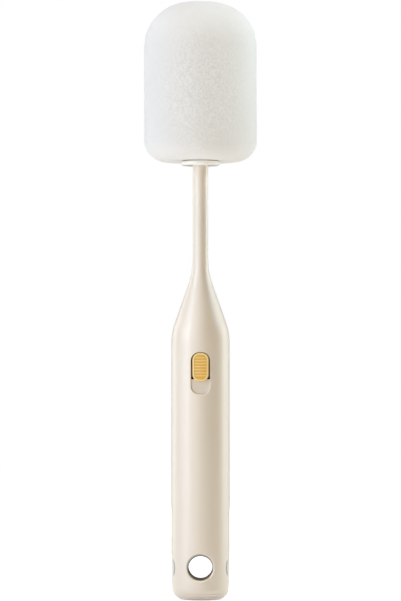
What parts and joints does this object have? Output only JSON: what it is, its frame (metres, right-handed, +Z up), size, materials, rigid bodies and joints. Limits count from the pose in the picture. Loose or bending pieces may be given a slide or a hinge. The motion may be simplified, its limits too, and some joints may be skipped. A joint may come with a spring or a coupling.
{
  "type": "bottle brush",
  "caption": "Slim upright bottle brush with a cylindrical foam sponge head, a thin stem and a round grip with a slide button that lets go of the sponge.",
  "frame": {"origin": "centre of the flat base that the brush stands on", "axes": "+Z up along the brush from the base to the sponge, +Y to the back, so that the button faces -Y, +X to the right"},
  "size_m": [0.0566, 0.0566, 0.2995],
  "materials": {
    "cream_shell": "satin",
    "yellow_button": "satin",
    "white_foam": "matte",
    "dark_plastic": "matte",
    "inner_plastic": "matte",
    "bright_steel": "satin",
    "seal_rubber": "matte"
  },
  "bodies": {
    "handle": {"handle_shell": "cream_shell", "end_cap": "cream_shell", "tail_bulkhead": "inner_plastic", "bulkhead_seal": "seal_rubber", "slide_frame": "inner_plastic", "return_spring": "bright_steel", "head_post": "cream_shell", "head_screw_front": "bright_steel", "head_screw_back": "bright_steel", "nose_cap": "inner_plastic", "rod_seal": "seal_rubber"},
    "slider": {"thumb_button": "yellow_button", "slot_shutter": "dark_plastic", "slide_carriage": "inner_plastic", "pull_rod": "bright_steel", "rod_clip": "bright_steel", "cam_blade": "bright_steel", "blade_pin": "bright_steel"},
    "left_barb": {"barb_left": "bright_steel"},
    "right_barb": {"barb_right": "bright_steel"},
    "sponge_head": {"sponge": "white_foam"}
  },
  "joints": [
    {"name": "button_slide", "type": "slide", "parent": "handle", "child": "slider", "axis": [0, 0, -1], "range_m": [0, 0.006], "stiffness_N_per_m": 200, "springref_m": -0.005, "deforming": ["return_spring"]},
    {"name": "left_barb_slide", "type": "slide", "parent": "handle", "child": "left_barb", "axis": [1, 0, 0], "range_m": [0, 0.0028]},
    {"name": "right_barb_slide", "type": "slide", "parent": "handle", "child": "right_barb", "axis": [-1, 0, 0], "range_m": [0, 0.0028]},
    {"name": "sponge_pull", "type": "slide", "parent": "handle", "child": "sponge_head", "axis": [0, 0, 1], "range_m": [0, 0.06]}
  ],
  "couplings": [
    {"joint": "left_barb_slide", "follows": "button_slide", "ratio": 0.46667},
    {"joint": "right_barb_slide", "follows": "button_slide", "ratio": 0.46667}
  ]
}
